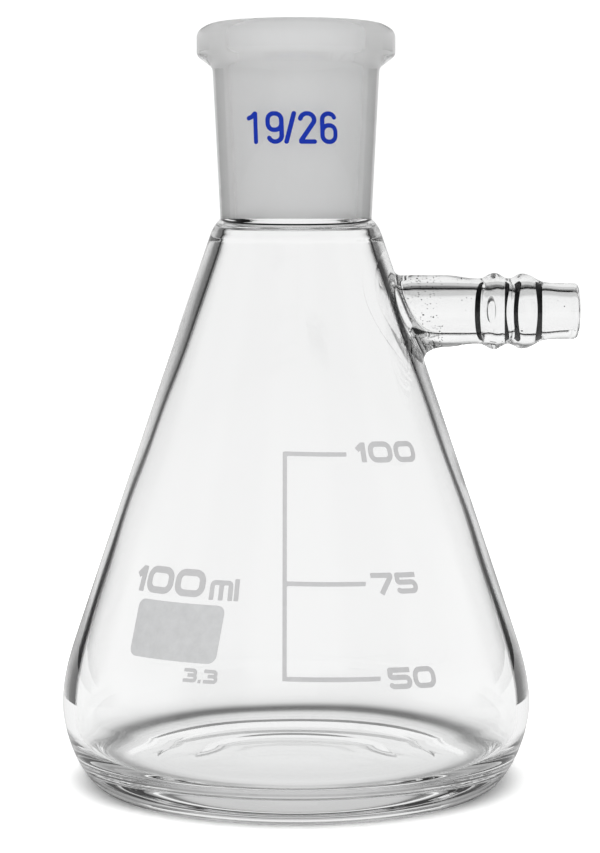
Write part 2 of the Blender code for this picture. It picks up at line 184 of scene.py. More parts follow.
# Studio.
CAMERA_PLACE, CAMERA_FALL, LENS = (0.54, -339.4, 76.4), 4.62, 105.33
MIRRORED = 0.75  # brightness of the surroundings mirrored in the glass
FLOOR_EXPOSURE = 2.45
FLOOR_REACH = 1500.0
SHADOW_SHIFT, SHADOW_STRETCH, SHADOW_REACH = 4.0, 1.05, 60.0  # how far back it lies, length to width
SHADOW = (  # the floor's brightness by distance from the middle of the contact shadow
    (0, 0.8), (22, 0.78), (24, 0.6), (25.5, 0.25), (26.5, 0.12), (28, 0.13), (29, 0.25), (29.7, 0.36),
    (30.5, 0.5), (31.3, 0.65), (33, 0.82), (36, 0.92), (42, 0.98), (50, 1.0),
)
SHADOW_HALF_Y, SHADOW_FULL_Y = -26, -12  # the shadow has half its depth in front of one, all behind the other


# Curves -------------------------------------------------------------------------------------------


def blend(start, start_way, end, end_way, count, pull=1 / 3):
    """Points of a smooth run that leaves start and reaches end along the two directions."""
    start, end = np.array(start, float), np.array(end, float)
    reach = pull * np.linalg.norm(end - start)
    near = start + reach * np.array(start_way, float) / np.linalg.norm(start_way)
    far = end - reach * np.array(end_way, float) / np.linalg.norm(end_way)
    t = np.linspace(0, 1, count + 1)[:, None]
    return (1 - t) ** 3 * start + 3 * t * (1 - t) ** 2 * near + 3 * t * t * (1 - t) * far + t**3 * end


def smooth_step(start, stop, value):
    """0 up to start and 1 from stop on, smooth between; stop may be the lower."""
    t = np.clip((np.asarray(value, float) - start) / (stop - start), 0, 1)
    return t * t * (3 - 2 * t)


def cone_radius(z):
    t = (z - CONE_LOW_Z) / (CONE_HIGH_Z - CONE_LOW_Z)
    return CONE_LOW_RADIUS + (CONE_HIGH_RADIUS - CONE_LOW_RADIUS) * t + 4 * CONE_BOW * t * (1 - t)


def wall(z):
    """The wall's thickness, measured level."""
    upper = smooth_step(WALL_GROWS_FROM_Z, CONE_HIGH_Z - WALL_THICK_BELOW_CONE_TOP, z)
    lower = smooth_step(HEEL_THICKENS_FROM_Z, HEEL_THICK_BELOW_Z, z)
    return WALL_THIN + (WALL_THICK - WALL_THIN) * upper + (WALL_HEEL - WALL_THIN) * lower


def inner_radius(z):
    return cone_radius(z) - wall(z)


def way(radius, z, up):
    """The direction of a wall at a height."""
    step = 0.25
    rise = (radius(z + step) - radius(z - step)) / (2 * step)
    return (rise, 1.0) if up else (-rise, -1.0)


def bore_radius(z):
    return MOUTH_RADIUS - TAPER * (TOTAL_HEIGHT - z)


def rounded(points, cuts, count):
    """A chain of (radius, z) points with each inner corner rounded over the length that its cut gives."""
    points = [np.array(p, float) for p in points]
    out = [points[0]]
    for before, corner, after, cut in zip(points, points[1:], points[2:], cuts):
        a = corner + (before - corner) * min(0.5, cut / np.linalg.norm(before - corner))
        b = corner + (after - corner) * min(0.5, cut / np.linalg.norm(after - corner))
        t = np.linspace(0, 1, count + 1)[:, None]
        out += list((1 - t) ** 2 * a + 2 * t * (1 - t) * corner + t * t * b)
    return out + [points[-1]]


# Meshes -------------------------------------------------------------------------------------------


def mesh_object(name, points, faces, materials, indices=None, smooth=True):
    """An object from points in millimetres."""
    mesh = bpy.data.meshes.new(name)
    mesh.from_pydata([tuple(p) for p in np.asarray(points, float) * MM], [], [tuple(f) for f in faces])
    for material in materials:
        mesh.materials.append(material)
    if indices is not None:
        mesh.polygons.foreach_set("material_index", np.asarray(indices, np.int32))
    mesh.polygons.foreach_set("use_smooth", np.full(len(mesh.polygons), smooth))
    mesh.update()
    made = bpy.data.objects.new(name, mesh)
    bpy.context.scene.collection.objects.link(made)
    return made


def turn(profile, kinds):
    """(points, faces, face kinds) of a closed (radius, z) loop turned about Z. A kind goes with each run to
    the next point; a point on the axis becomes a pole."""
    profile = np.asarray(profile, float)
    angles = np.arange(STEPS) * 2 * math.pi / STEPS
    points, rings = [], []
    for r, z in profile:
        if r < 1e-9:
            rings.append([len(points)] * STEPS)
            points.append((0, 0, z))
        else:
            rings.append(list(range(len(points), len(points) + STEPS)))
            points += [(r * math.cos(a), r * math.sin(a), z) for a in angles]
    faces, face_kinds = [], []
    for i, kind in enumerate(kinds):
        a, b = rings[i], rings[(i + 1) % len(rings)]
        if a[0] == a[1] and b[0] == b[1]:  # a run along the axis makes no faces
            continue
        for j in range(STEPS):
            k = (j + 1) % STEPS
            corners = [a[j], a[k], b[k], b[j]]
            face = [v for n, v in enumerate(corners) if v not in corners[:n]]
            faces.append(face)
            face_kinds.append(kind)
    return points, faces, face_kinds


def outward(obj):
    shape = bmesh.new()
    shape.from_mesh(obj.data)
    bmesh.ops.recalc_face_normals(shape, faces=shape.faces)
    shape.to_mesh(obj.data)
    shape.free()


def sharpen(obj, degrees=35):
    obj.data.set_sharp_from_angle(angle=math.radians(degrees))


# The glass body -----------------------------------------------------------------------------------


def body_outside():
    """(radius, z) down the outside from the seam to the middle of the base."""
    lean = math.radians(SHOULDER_ANGLE)
    points = list(blend(
        (SEAM_RADIUS, SEAM_Z), (math.sin(lean), -math.cos(lean)),
        (CONE_HIGH_RADIUS, CONE_HIGH_Z), way(cone_radius, CONE_HIGH_Z, False), 14,
    ))
    points += [(cone_radius(z), z) for z in np.linspace(CONE_HIGH_Z, CONE_LOW_Z, 41)[1:]]
    points += list(blend(
        (CONE_LOW_RADIUS, CONE_LOW_Z), way(cone_radius, CONE_LOW_Z, False),
        (BODY_RADIUS, WIDEST_Z), (0, -1), 28,
    ))[1:]
    points += list(blend(
        (BODY_RADIUS, WIDEST_Z), (0, -1), (RING_RADIUS, 0.0), (-1, 0), 64, pull=HEEL_FULLNESS
    ))[1:]
    inner_edge = RING_RADIUS - RING_WIDTH
    base = [(RING_RADIUS, 0.0), (inner_edge, 0.0)]
    base += [(inner_edge - inset, z) for inset, z in PUNT_STEPS] + list(PUNT_DISC)
    points += rounded(base, PUNT_ROUNDING, 6)[1:]
    return points


def body_inside():
    """(radius, z) up the inside from the middle of the floor to the seam."""
    shoulder = SEAM_Z - INNER_SHOULDER_DROP
    side = (BODY_RADIUS - WALL_HEEL, WIDEST_Z)
    floor_edge = (RING_RADIUS - FLOOR_INSET, FLOOR_Z)
    points = [(0.0, FLOOR_Z)] + [(r, FLOOR_Z) for r in np.linspace(3, floor_edge[0], 9)[:-1]]
    points += list(blend(floor_edge, (1, 0), side, (0, 1), 64, pull=FLOOR_FULLNESS))
    cone_foot = (inner_radius(CONE_LOW_Z), CONE_LOW_Z)
    points += list(blend(side, (0, 1), cone_foot, way(inner_radius, CONE_LOW_Z, True), 28))[1:]
    points += [(inner_radius(z), z) for z in np.linspace(CONE_LOW_Z, shoulder, 44)[1:]]
    neck = [(inner_radius(shoulder - 1), shoulder - 1), points[-1]]
    neck += [(SEAM_BORE + beyond, SEAM_Z - depth) for beyond, depth in NECK]
    points += through(neck, 10)[1:]
    return points


def through(points, count):
    """A smooth curve through the points, from the second to the last but one."""
    points = [np.array(p, float) for p in points]
    out = [points[1]]
    for a, b, c, d in zip(points, points[1:], points[2:], points[3:]):
        square, cube = 2 * a - 5 * b + 4 * c - d, 3 * b - a - 3 * c + d
        for t in np.linspace(0, 1, count + 1)[1:]:
            out.append(0.5 * (2 * b + (c - a) * t + square * t**2 + cube * t**3))
    return out


def waves(x, y, z):
    """Unevenness of blown glass, from -1 to 1: long swells and a little ripple."""
    angle = np.arctan2(y, x)
    swell = np.sin(2 * angle + z / 17.0) + 0.7 * np.sin(3 * angle - z / 11.0 + 1.3)
    ripple = 0.35 * np.sin(7 * angle + z / 5.3) * np.sin(z / 3.9 + 2 * angle)
    return (swell + ripple) / 2.05


def uneven_inside(points, inside):
    """The inside wall's points moved level by the waves, fading out towards the floor and the seam."""
    points = np.array(points, float)
    x, y, z = points.T
    share = inside * smooth_step(WAVES_FROM_Z, WAVES_FULL_Z, z)
    share = share * (1 - smooth_step(WAVES_FADE_Z, WAVES_END_Z, z))
    radius = np.hypot(x, y)
    grow = 1 + share * WAVE_HEIGHT * waves(x, y, z) / np.maximum(radius, 1)
    return np.stack([x * grow, y * grow, z], 1)


def cut_out(target, cutter):
    """Takes the cutter's space out of the target and removes the cutter."""
    modifier = target.modifiers.new("Cut", "BOOLEAN")
    modifier.operation = "DIFFERENCE"
    modifier.solver = "EXACT"
    modifier.object = cutter
    graph = bpy.context.evaluated_depsgraph_get()
    mesh = bpy.data.meshes.new_from_object(target.evaluated_get(graph))
    target.modifiers.clear()
    old, name = target.data, target.data.name
    target.data = mesh
    bpy.data.meshes.remove(old)
    mesh.name = name
    bpy.data.objects.remove(cutter)


def inside_kind(z):
    """The material on the inside of the body at a height."""
    # The bead's band and the groove's upper side get painted shade.
    if SEAM_Z - BEAD_LINE_LOW < z < SEAM_Z - BEAD_LINE_HIGH or z > SEAM_Z - SEAM_LINE:
        return PAINTED_DARK
    return INNER if HEEL_LINE < z < SEAM_Z - NECK_LINE else HEEL


def make_body(materials):
    outside, inside = body_outside(), body_inside()
    kinds = [CLEAR] * len(outside)
    kinds += [inside_kind((a[1] + b[1]) / 2) for a, b in zip(inside, inside[1:])] + [CAP]
    points, faces, face_kinds = turn(outside + inside, kinds)
    first_inside = len(turn(outside, [CLEAR] * (len(outside) - 1))[0])
    is_inside = np.arange(len(points)) >= first_inside
    points = uneven_inside(points, is_inside)
    body = mesh_object("flask_body_glass", points, faces, materials, face_kinds)
    outward(body)

    # The wall round the side arm's foot is cut out here, and is part of the arm's own piece.
    n = ARM_STEPS
    ring = [(PLUG_RADIUS * math.cos(a), ARM_Z + PLUG_RADIUS * math.sin(a)) for a in arm_angles()]
    points = [(x, y, z) for x in PLUG_ENDS for y, z in ring]
    faces = [(j, (j + 1) % n, n + (j + 1) % n, n + j) for j in range(n)]
    faces += [tuple(range(n)), tuple(range(n, 2 * n))]
    cutter = mesh_object("plug", points, faces, [], smooth=False)
    outward(cutter)
    cut_out(body, cutter)
    for face in body.data.polygons:
        centre = face.center / MM
        off = math.hypot(centre.y, centre.z - ARM_Z)
        if centre.x > 0 and off < PLUG_RADIUS + 0.01 and abs(face.normal.x) < 0.01:
            face.material_index = CAP
    sharpen(body)
    return body


# The side arm -------------------------------------------------------------------------------------


def arm_angles():
    return np.arange(ARM_STEPS) * 2 * math.pi / ARM_STEPS


def arm_radius(back):
    """The side arm's outer radius at a distance back from its tip."""
    root = smooth_step(ARM_NARROWS_TO, ARM_NARROWS_FROM, back)
    tip = 1 - smooth_step(TIP_TAPERS_TO, TIP_TAPERS_FROM, back)
    plain = ARM_RADIUS + (ARM_ROOT_RADIUS - ARM_RADIUS) * root + (TIP_RADIUS - ARM_RADIUS) * tip
    radius = plain
    for centre, crest, tip_side, flask_side in OLIVES:
        share = (back - centre) / (flask_side if back > centre else tip_side)
        if abs(share) < 1:
            radius += (crest - plain) * (0.5 + 0.5 * math.cos(math.pi * share))
    return float(radius)


def wall_x(radius, off, angle):
    """Where a wall of that radius lies, at a distance off the arm's axis and an angle round it."""
    y, z = off * math.cos(angle), ARM_Z + off * math.sin(angle)
    return math.sqrt(radius(z) ** 2 - y * y)


def bore_line(angle):
    """(x, radius, kind to the next) along the arm's bore from the tip inwards. It widens inside the barbs,
    and the steep steps at their ends bow with the angle."""
    line = [(LIP_DEPTH, TIP_BORE_RADIUS, INNER)]
    for near, far, near_shift, far_shift, power, before, after in BORE_STEPS:
        bow = abs(math.cos(angle)) ** power
        near, far = near + near_shift * bow, far + far_shift * bow
        start, radius, _ = line[-1]
        for t in np.linspace(0, 1, 9)[1:-1]:
            rise = float(smooth_step(0, 1, t))
            line.append((start + (near - start) * t, radius + (before - radius) * rise, INNER))
        for t in np.linspace(0, 1, 6):
            rise = float(smooth_step(0, 1, t))
            # The steep side of each step gets painted shade.
            kind = PAINTED_DARK if t < 1 else INNER
            line.append((near + (far - near) * t, before + (after - before) * rise, kind))
    start = line[-1][0]
    stop = TIP_X - wall_x(inner_radius, 0.0, 0.0) - PORT_LENGTH
    line += [(start + (stop - start) * t, ARM_BORE_RADIUS, INNER) for t in np.linspace(0, 1, 10)[1:]]
    return [(TIP_X - back, radius, kind) for back, radius, kind in line]


def arm_ring(angle):
    """The closed section of the arm and its plug of wall at an angle round the arm's axis, as (x, distance
    off the axis, kind to the next)."""
    down = 0.5 - 0.5 * math.sin(angle)
    foot = ARM_ROOT_RADIUS + FOOT_FLARE + FOOT_FLARE_BELOW * down
    outer_wall = [(wall_x(cone_radius, off, angle), off) for off in np.linspace(PLUG_RADIUS, foot, 7)]
    run = (outer_wall[-1][0] - outer_wall[-2][0], outer_wall[-1][1] - outer_wall[-2][1])
    foot_x = wall_x(cone_radius, ARM_ROOT_RADIUS, angle) + FOOT_HEIGHT + FOOT_HEIGHT_BELOW * down
    lift_off = (foot_x, arm_radius(FOOT_ENDS_BACK))
    fillet = blend(outer_wall[-1], run, lift_off, (1, 0), 16, pull=FOOT_FULLNESS)[1:]

    backs = [TIP_X - foot_x]
    for back, count in OUTSIDE_RUNS:
        backs += np.linspace(backs[-1], back, count)[1:].tolist()
    outer = [(TIP_X - back, arm_radius(back)) for back in backs[1:]]
    end = arm_radius(TIP_ROUND)
    rim = (end + TIP_BORE_RADIUS) / 2
    lip = blend((TIP_X - TIP_ROUND, end), (1, 0), (TIP_X, rim), (0, -1), 8, pull=LIP_FULLNESS)[1:]
    lip_end = (TIP_X - LIP_DEPTH, TIP_BORE_RADIUS)
    lip_in = blend((TIP_X, rim), (0, -1), lip_end, (-1, 0), 8, pull=LIP_FULLNESS)[1:]

    bore = bore_line(angle)
    port = ARM_BORE_RADIUS + PORT_FLARE
    port_edge = (wall_x(inner_radius, port, angle), port)
    funnel = blend(bore[-1][:2], (-1, 0), port_edge, (-0.5, 1), 14, pull=LIP_FULLNESS)[1:]
    offs = np.linspace(port, PLUG_RADIUS, 10)[1:]
    inner_wall = [(wall_x(inner_radius, off, angle), off) for off in offs]

    section = [(x, off, CLEAR) for x, off in [*outer_wall, *fillet, *outer, *lip, *lip_in]]
    section += bore
    section += [(x, off, INNER) for x, off in [*funnel, *inner_wall[:-1]]]
    section += [(*inner_wall[-1], CAP)]
    return section


def make_arm(materials):
    angles = arm_angles()
    sections = [arm_ring(a) for a in angles]
    count = len(sections[0])
    points, faces, kinds = [], [], []
    for j, (a, section) in enumerate(zip(angles, sections)):
        points += [(x, off * math.cos(a), ARM_Z + off * math.sin(a)) for x, off, _ in section]
        k = (j + 1) % ARM_STEPS
        for i in range(count):
            n = (i + 1) % count
            faces.append((j * count + i, k * count + i, k * count + n, j * count + n))
            kinds.append(sections[0][i][2])
    arm = mesh_object("side_arm_glass", points, faces, materials, kinds)
    # Painted shade stays only on the print's side of the steps.
    for face in arm.data.polygons:  # only the print's side of the steps is dark
        if face.material_index == PAINTED_DARK and face.center.y > 0:
            face.material_index = INNER
    outward(arm)
    sharpen(arm)
    return arm


def make_bubbles(material):
    """Fine seed bubbles in the thick glass where the arm was fused on, and a few along the tube: small balls
    that face inwards, in near-black painted shade."""
    rng = np.random.default_rng(19)
    shape = bmesh.new()
    for n in range(BUBBLES):
        angle = rng.uniform(0, 2 * math.pi)
        along_range, off_range = FOOT_SPREAD if n < FOOT_BUBBLES else TUBE_SPREAD
        along, off = rng.uniform(*along_range), rng.uniform(*off_range)
        size = rng.uniform(*BUBBLE_SIZES)
        along = max(along, wall_x(cone_radius, off, angle) + 0.1)
        centre = Vector((along, off * math.cos(angle), ARM_Z + off * math.sin(angle)))
        stretch = Matrix.Diagonal((size * rng.uniform(*BUBBLE_STRETCH), size, size, 1))
        place = Matrix.Translation(centre) @ stretch
        bmesh.ops.create_icosphere(shape, subdivisions=2, radius=1.0, matrix=place)
    bmesh.ops.scale(shape, vec=(MM, MM, MM), verts=shape.verts)
    bmesh.ops.recalc_face_normals(shape, faces=shape.faces)
    bmesh.ops.reverse_faces(shape, faces=shape.faces)
    mesh = bpy.data.meshes.new("foot_bubbles")
    shape.to_mesh(mesh)
    shape.free()
    mesh.materials.append(material)
    mesh.polygons.foreach_set("use_smooth", np.full(len(mesh.polygons), True))
    made = bpy.data.objects.new("foot_bubbles", mesh)
    bpy.context.scene.collection.objects.link(made)
    return made


# The ground socket --------------------------------------------------------------------------------


def make_socket(materials):
    collar_high = TOTAL_HEIGHT - COLLAR_UPPER_SLOPE
    collar_low = collar_high - COLLAR_BAND
    tube_top = collar_low - COLLAR_LOWER_SLOPE
    tube = bore_radius(tube_top) + SOCKET_WALL
    mouth_z = TOTAL_HEIGHT - MOUTH_CHAMFER
    corners = [
        (tube, tube_top), (COLLAR_RADIUS, collar_low), (COLLAR_RADIUS, collar_high),
        (COLLAR_RADIUS - COLLAR_SHOULDER, TOTAL_HEIGHT), (MOUTH_RADIUS + MOUTH_EDGE, TOTAL_HEIGHT),
        (bore_radius(mouth_z), mouth_z),
    ]
    heights = np.linspace(SEAM_Z, tube_top - COLLAR_BLEND, 24)[:-1]
    outer = [(SEAM_RADIUS + (tube - SEAM_RADIUS) * (z - SEAM_Z) / (tube_top - SEAM_Z), z) for z in heights]
    outer += rounded([outer[-1]] + corners, COLLAR_ROUNDING, 8)[1:]
    bore = [(bore_radius(z), z) for z in np.linspace(mouth_z, SEAM_Z, 40)[1:]]
    kinds = [CLEAR] * (len(outer) - 1) + [INNER] * len(bore) + [CAP]
    points, faces, face_kinds = turn(outer + bore, kinds)
    socket = mesh_object("ground_socket_glass", points, faces, materials, face_kinds)
    outward(socket)
    sharpen(socket, 50)
    return socket


# Print --------------------------------------------------------------------------------------------


def stroke_field(u, v, strokes, half, flat):
    """How far each (u, v) is outside the strokes. Open ends are flat or round."""
    away = np.full(u.shape, 1e9)
    for stroke in strokes:
        stroke = np.asarray(stroke, float)
        closed = np.allclose(stroke[0], stroke[-1])
        for (ax, ay), (bx, by) in zip(stroke, stroke[1:]):
            length = math.hypot(bx - ax, by - ay)
            if length < 1e-9:
                continue
            cx, cy = (bx - ax) / length, (by - ay) / length
            along = (u - ax) * cx + (v - ay) * cy
            across = np.abs((u - ax) * cy - (v - ay) * cx)
            away = np.minimum(away, np.maximum(across - half, np.maximum(-along, along - length)))
        joints = stroke if closed or not flat else stroke[1:-1]
        for x, y in joints:
            away = np.minimum(away, np.hypot(u - x, v - y) - half)
    return away


def arc(cx, cy, rx, ry, start, end, count=10):
    turns = np.radians(np.linspace(start, end, count + 1))
    return [(cx + rx * math.cos(t), cy + ry * math.sin(t)) for t in turns]


def round_box(x0, y0, x1, y1, r):
    run = arc(x1 - r, y1 - r, r, r, 0, 90) + arc(x0 + r, y1 - r, r, r, 90, 180)
    run += arc(x0 + r, y0 + r, r, r, 180, 270) + arc(x1 - r, y0 + r, r, r, 270, 360)
    return run + run[:1]


# Wide numerals: height 1, stroke 0.24. Each has its width and its strokes.
WIDE = {
    "0": (1.36, [round_box(0.14, 0.12, 1.22, 0.88, 0.3)]),
    "1": (0.62, [[(0.46, 0.0), (0.46, 0.95)], [(0.44, 0.86), (0.14, 0.58)]]),
    "3": (1.2, [
        [(0.06, 0.88), (0.86, 0.88), *arc(0.9, 0.7, 0.18, 0.18, 80, -80, 6), (0.4, 0.51)],
        [(0.86, 0.51), *arc(0.92, 0.31, 0.19, 0.19, 80, -80, 6), (0.04, 0.12)],
    ]),
    "5": (1.32, [[
        (1.26, 0.88), (0.14, 0.88), (0.14, 0.66), *arc(0.28, 0.64, 0.14, 0.1, 180, 270, 4),
        *arc(0.98, 0.33, 0.22, 0.21, 90, -90, 8), *arc(0.32, 0.26, 0.18, 0.14, 270, 205, 4),
    ]]),
    "7": (1.26, [[(0.0, 0.88), (1.12, 0.88), (1.12, 0.8), (0.52, 0.0)]]),
    ".": (0.34, [[(0.05, 0.1), (0.29, 0.1)]]),
    "m": (1.5, [
        [
            (0.14, 0.0), (0.14, 0.66), *arc(0.3, 0.66, 0.16, 0.14, 180, 90, 4),
            *arc(1.2, 0.66, 0.16, 0.14, 90, 0, 4), (1.36, 0.0),
        ],
        [(0.75, 0.0), (0.75, 0.78)],
    ]),
    "l": (0.3, [[(0.15, 0.0), (0.15, 1.0)]]),
}
# Plain upright numerals: height 1, stroke 0.128, round ends.
NINE = [
    round_box(0.064, 0.43, 0.507, 0.936, 0.2),
    [(0.507, 0.7), (0.507, 0.25), *arc(0.297, 0.25, 0.21, 0.186, 0, -158, 10)],
]
UPRIGHT = {
    "1": (0.667, [[(0.064, 0.80), (0.17, 0.835), (0.29, 0.936), (0.31, 0.936), (0.31, 0.064)]]),
    "9": (0.59, NINE),
    "/": (0.443, [[(0.064, 0.064), (0.315, 0.936)]]),
    "2": (0.697, [
        [*arc(0.284, 0.74, 0.22, 0.196, 170, -20, 10), (0.08, 0.1), (0.08, 0.064), (0.503, 0.064)],
    ]),
    "6": (0.571, [[(0.571 - x, 1 - y) for x, y in stroke] for stroke in NINE]),
}


def text_strokes(text, glyphs, height, gap, width):
    """The strokes of a line of text, in millimetres, from its lower left corner."""
    strokes, at = [], 0.0
    for letter in text:
        advance, shape = glyphs[letter]
        strokes += [[(at + x, y * height) for x, y in stroke] for stroke in shape]
        at += advance + gap
    return [[(x * width / (at - gap), y) for x, y in stroke] for stroke in strokes]


def printed(name, field, size, place, material, cell):
    """A thin skin with an outline where field(u, v) is 0, laid by place(u, v, height above the glass)."""
    (u0, v0), (u1, v1) = size
    nu, nv = int(math.ceil((u1 - u0) / cell)) + 1, int(math.ceil((v1 - v0) / cell)) + 1
    u, v = np.meshgrid(u0 + cell * np.arange(nu), v0 + cell * np.arange(nv))
    value = field(u, v)
    value = np.where(np.abs(value) < EDGE_CLEARANCE, EDGE_CLEARANCE, value)
    flat, index, crossings = [], {}, {}

    def corner(i, j):
        if (i, j) not in index:
            index[i, j] = len(flat)
            flat.append((u[i, j], v[i, j]))
        return index[i, j]

    def crossing(p, q):
        key = (min(p, q), max(p, q))
        if key not in crossings:
            a, b = value[p], value[q]
            t = a / (a - b)
            crossings[key] = len(flat)
            flat.append((u[p] + t * (u[q] - u[p]), v[p] + t * (v[q] - v[p])))
        return crossings[key]

    faces = []
    for i in range(nv - 1):
        for j in range(nu - 1):
            quad = ((i, j), (i, j + 1), (i + 1, j + 1), (i + 1, j))
            if all(value[p] < 0 for p in quad):
                faces.append([corner(*p) for p in quad])
                continue
            if all(value[p] > 0 for p in quad):
                continue
            for tri in ((quad[0], quad[1], quad[2]), (quad[0], quad[2], quad[3])):
                kept = []
                for p, q in zip(tri, tri[1:] + tri[:1]):
                    if value[p] < 0:
                        kept.append(corner(*p))
                    if (value[p] < 0) != (value[q] < 0):
                        kept.append(crossing(p, q))
                if len(kept) > 2:
                    faces.append(kept)
    base = len(flat)
    points = [place(a, b, lift) for lift in (PRINT_LIFT, PRINT_LIFT + PRINT_THICKNESS) for a, b in flat]
    edges = {}
    for face in faces:
        for a, b in zip(face, face[1:] + face[:1]):
            edges[a, b] = edges.get((a, b), 0) + 1
    solid = [[base + a for a in face] for face in faces] + [face[::-1] for face in faces]
    solid += [[a, b, base + b, base + a] for a, b in edges if (b, a) not in edges]
    made = mesh_object(name, points, solid, [material])
    outward(made)
    sharpen(made)
    return made


def on_cone(azimuth, row_z, tilt=0.0):
    """Lays a print on the cone from a point on it: u runs level to the right, v up the slope."""
    slant = math.hypot(1, way(cone_radius, row_z, True)[0])
    start_x = cone_radius(row_z) * math.sin(math.radians(azimuth))

    def place(u, v, high):
        z = row_z + v / slant
        turn_to = math.radians(azimuth) + u / cone_radius(row_z)
        z -= tilt * (cone_radius(z) * math.sin(turn_to) - start_x)
        r = cone_radius(z) + high
        return (r * math.sin(turn_to), -r * math.cos(turn_to), z)

    return place


def on_tube(azimuth, row_z):
    """Lays a print on the socket's tube from a point on it."""

    def place(u, v, high):
        z = row_z + v
        r = SEAM_RADIUS + (z - SEAM_Z) * TAPER + high
        turn_to = math.radians(azimuth) + u / r
        return (r * math.sin(turn_to), -r * math.cos(turn_to), z)

    return place


def print_text(name, text, glyphs, height, width, gap, stroke, flat, place, material):
    """Prints a line of text. The stroke is a share of its height; with flat, its strokes end square."""
    strokes = text_strokes(text, glyphs, height, gap, width)
    half = stroke * height / 2

    def field(u, v):
        return stroke_field(u, v, strokes, half, flat)

    margin = half + TEXT_CELL
    size = ((-margin, -margin), (width + margin, height + margin))
    return printed(name, field, size, place, material, TEXT_CELL)


def make_scale(material):
    """The scale line with a mark at each height, flat in X and Z, laid on the cone."""
    half = LINE_WIDTH / 2
    low, high = min(z for z, _ in MARKS) - half, max(z for z, _ in MARKS) + half

    def box(u, v, x0, x1, y0, y1):
        return np.maximum(np.maximum(x0 - u, u - x1), np.maximum(y0 - v, v - y1))

    def field(u, v):
        away = box(u, v, LINE_X - half, LINE_X + half, low, high)
        level = v + (u - LINE_X) * math.tan(MARK_TILT)
        for z, end in MARKS:
            away = np.minimum(away, box(u, level, LINE_X, end, z - half, z + half))
        return away

    def place(u, v, lift):
        r = cone_radius(v) + lift
        return (u, -math.sqrt(r * r - u * u), v)

    # The grid reaches a little beyond the print on each side.
    size = ((LINE_X - 0.6, low - 0.9), (max(end for _, end in MARKS) + 0.4, high + 0.3))
    return printed("graduation_scale_print", field, size, place, material, SCALE_CELL)


def make_spot(material):
    """The spot to write on, with round corners, laid on the cone."""
    across, up = SPOT_WIDTH / 2, SPOT_HEIGHT / 2
    slant = math.hypot(1, way(cone_radius, SPOT_Z, True)[0])

    def field(u, v):
        a = np.abs(u) - (across - SPOT_CORNER)
        b = np.abs(v) - (up - SPOT_CORNER)
        return np.hypot(np.maximum(a, 0), np.maximum(b, 0)) + np.minimum(np.maximum(a, b), 0) - SPOT_CORNER

    def place(u, v, lift):
        z = SPOT_Z + v / slant
        r = cone_radius(z)
        turn_to = math.radians(SPOT_AZIMUTH) + u / r
        r += lift
        return (r * math.sin(turn_to), -r * math.cos(turn_to), z)

    size = ((-across - 0.3, -up - 0.3), (across + 0.3, up + 0.3))
    return printed("marking_spot_print", field, size, place, material, SPOT_CELL)


# Materials ----------------------------------------------------------------------------------------


def new_material(name):
    made = bpy.data.materials.new(name)
    made.use_nodes = True
    tree = made.node_tree
    return made, tree, tree.nodes["Principled BSDF"]


def set_inputs(node, values):
    for name, value in values.items():
        node.inputs[name].default_value = value


def add_noise(tree, scale, detail=3.0, roughness=0.5):
    where = tree.nodes.new("ShaderNodeTexCoord")
    noise = tree.nodes.new("ShaderNodeTexNoise")
    set_inputs(noise, {"Scale": scale, "Detail": detail, "Roughness": roughness})
    tree.links.new(where.outputs["Object"], noise.inputs["Vector"])
    return noise.outputs["Fac"]


def add_ramp(tree, source, stops):
    """Maps the source to colours or grey levels: rows of (position, colour or level)."""
    ramp = tree.nodes.new("ShaderNodeValToRGB")
    elements = ramp.color_ramp.elements
    while len(elements) < len(stops):
        elements.new(0.5)
    for element, (position, colour) in zip(elements, stops):
        element.position = position
        element.color = (*colour, 1) if isinstance(colour, tuple) else (colour, colour, colour, 1)
    tree.links.new(source, ramp.inputs["Fac"])
    return ramp.outputs["Color"]


def add_range(tree, source, start, stop, to=(0.0, 1.0), kind="SMOOTHSTEP"):
    """Maps start and stop to the two ends of another range."""
    node = tree.nodes.new("ShaderNodeMapRange")
    node.interpolation_type = kind
    tree.links.new(source, node.inputs["Value"])
    set_inputs(node, {"From Min": start, "From Max": stop, "To Min": to[0], "To Max": to[1]})
    return node.outputs["Result"]


def add_position(tree, kind="Object"):
    """The X, Y and Z of the place or, with Generated, of the direction in the world."""
    parts = tree.nodes.new("ShaderNodeSeparateXYZ")
    tree.links.new(tree.nodes.new("ShaderNodeTexCoord").outputs[kind], parts.inputs[0])
    return parts.outputs["X"], parts.outputs["Y"], parts.outputs["Z"]


def maths_for(tree):
    """A function that adds maths nodes to the tree, over numbers and sockets."""

    def maths(operation, first, *others):
        node = tree.nodes.new("ShaderNodeMath")
        node.operation = operation
        for socket, value in zip(node.inputs, (first, *others)):
            if isinstance(value, (int, float)):
                socket.default_value = value
            else:
                tree.links.new(value, socket)
        return node.outputs[0]

    return maths


def mixed(maths, share, first, second):
    """The first value where share is 0, the second where it is 1."""
    left = maths("MULTIPLY", first, maths("SUBTRACT", 1.0, share))
    return maths("ADD", left, maths("MULTIPLY", second, share))


def add_bump(tree, shader, height, strength, distance):
    bump = tree.nodes.new("ShaderNodeBump")
    set_inputs(bump, {"Strength": strength, "Distance": distance})
    tree.links.new(height, bump.inputs["Height"])
    tree.links.new(bump.outputs["Normal"], shader.inputs["Normal"])


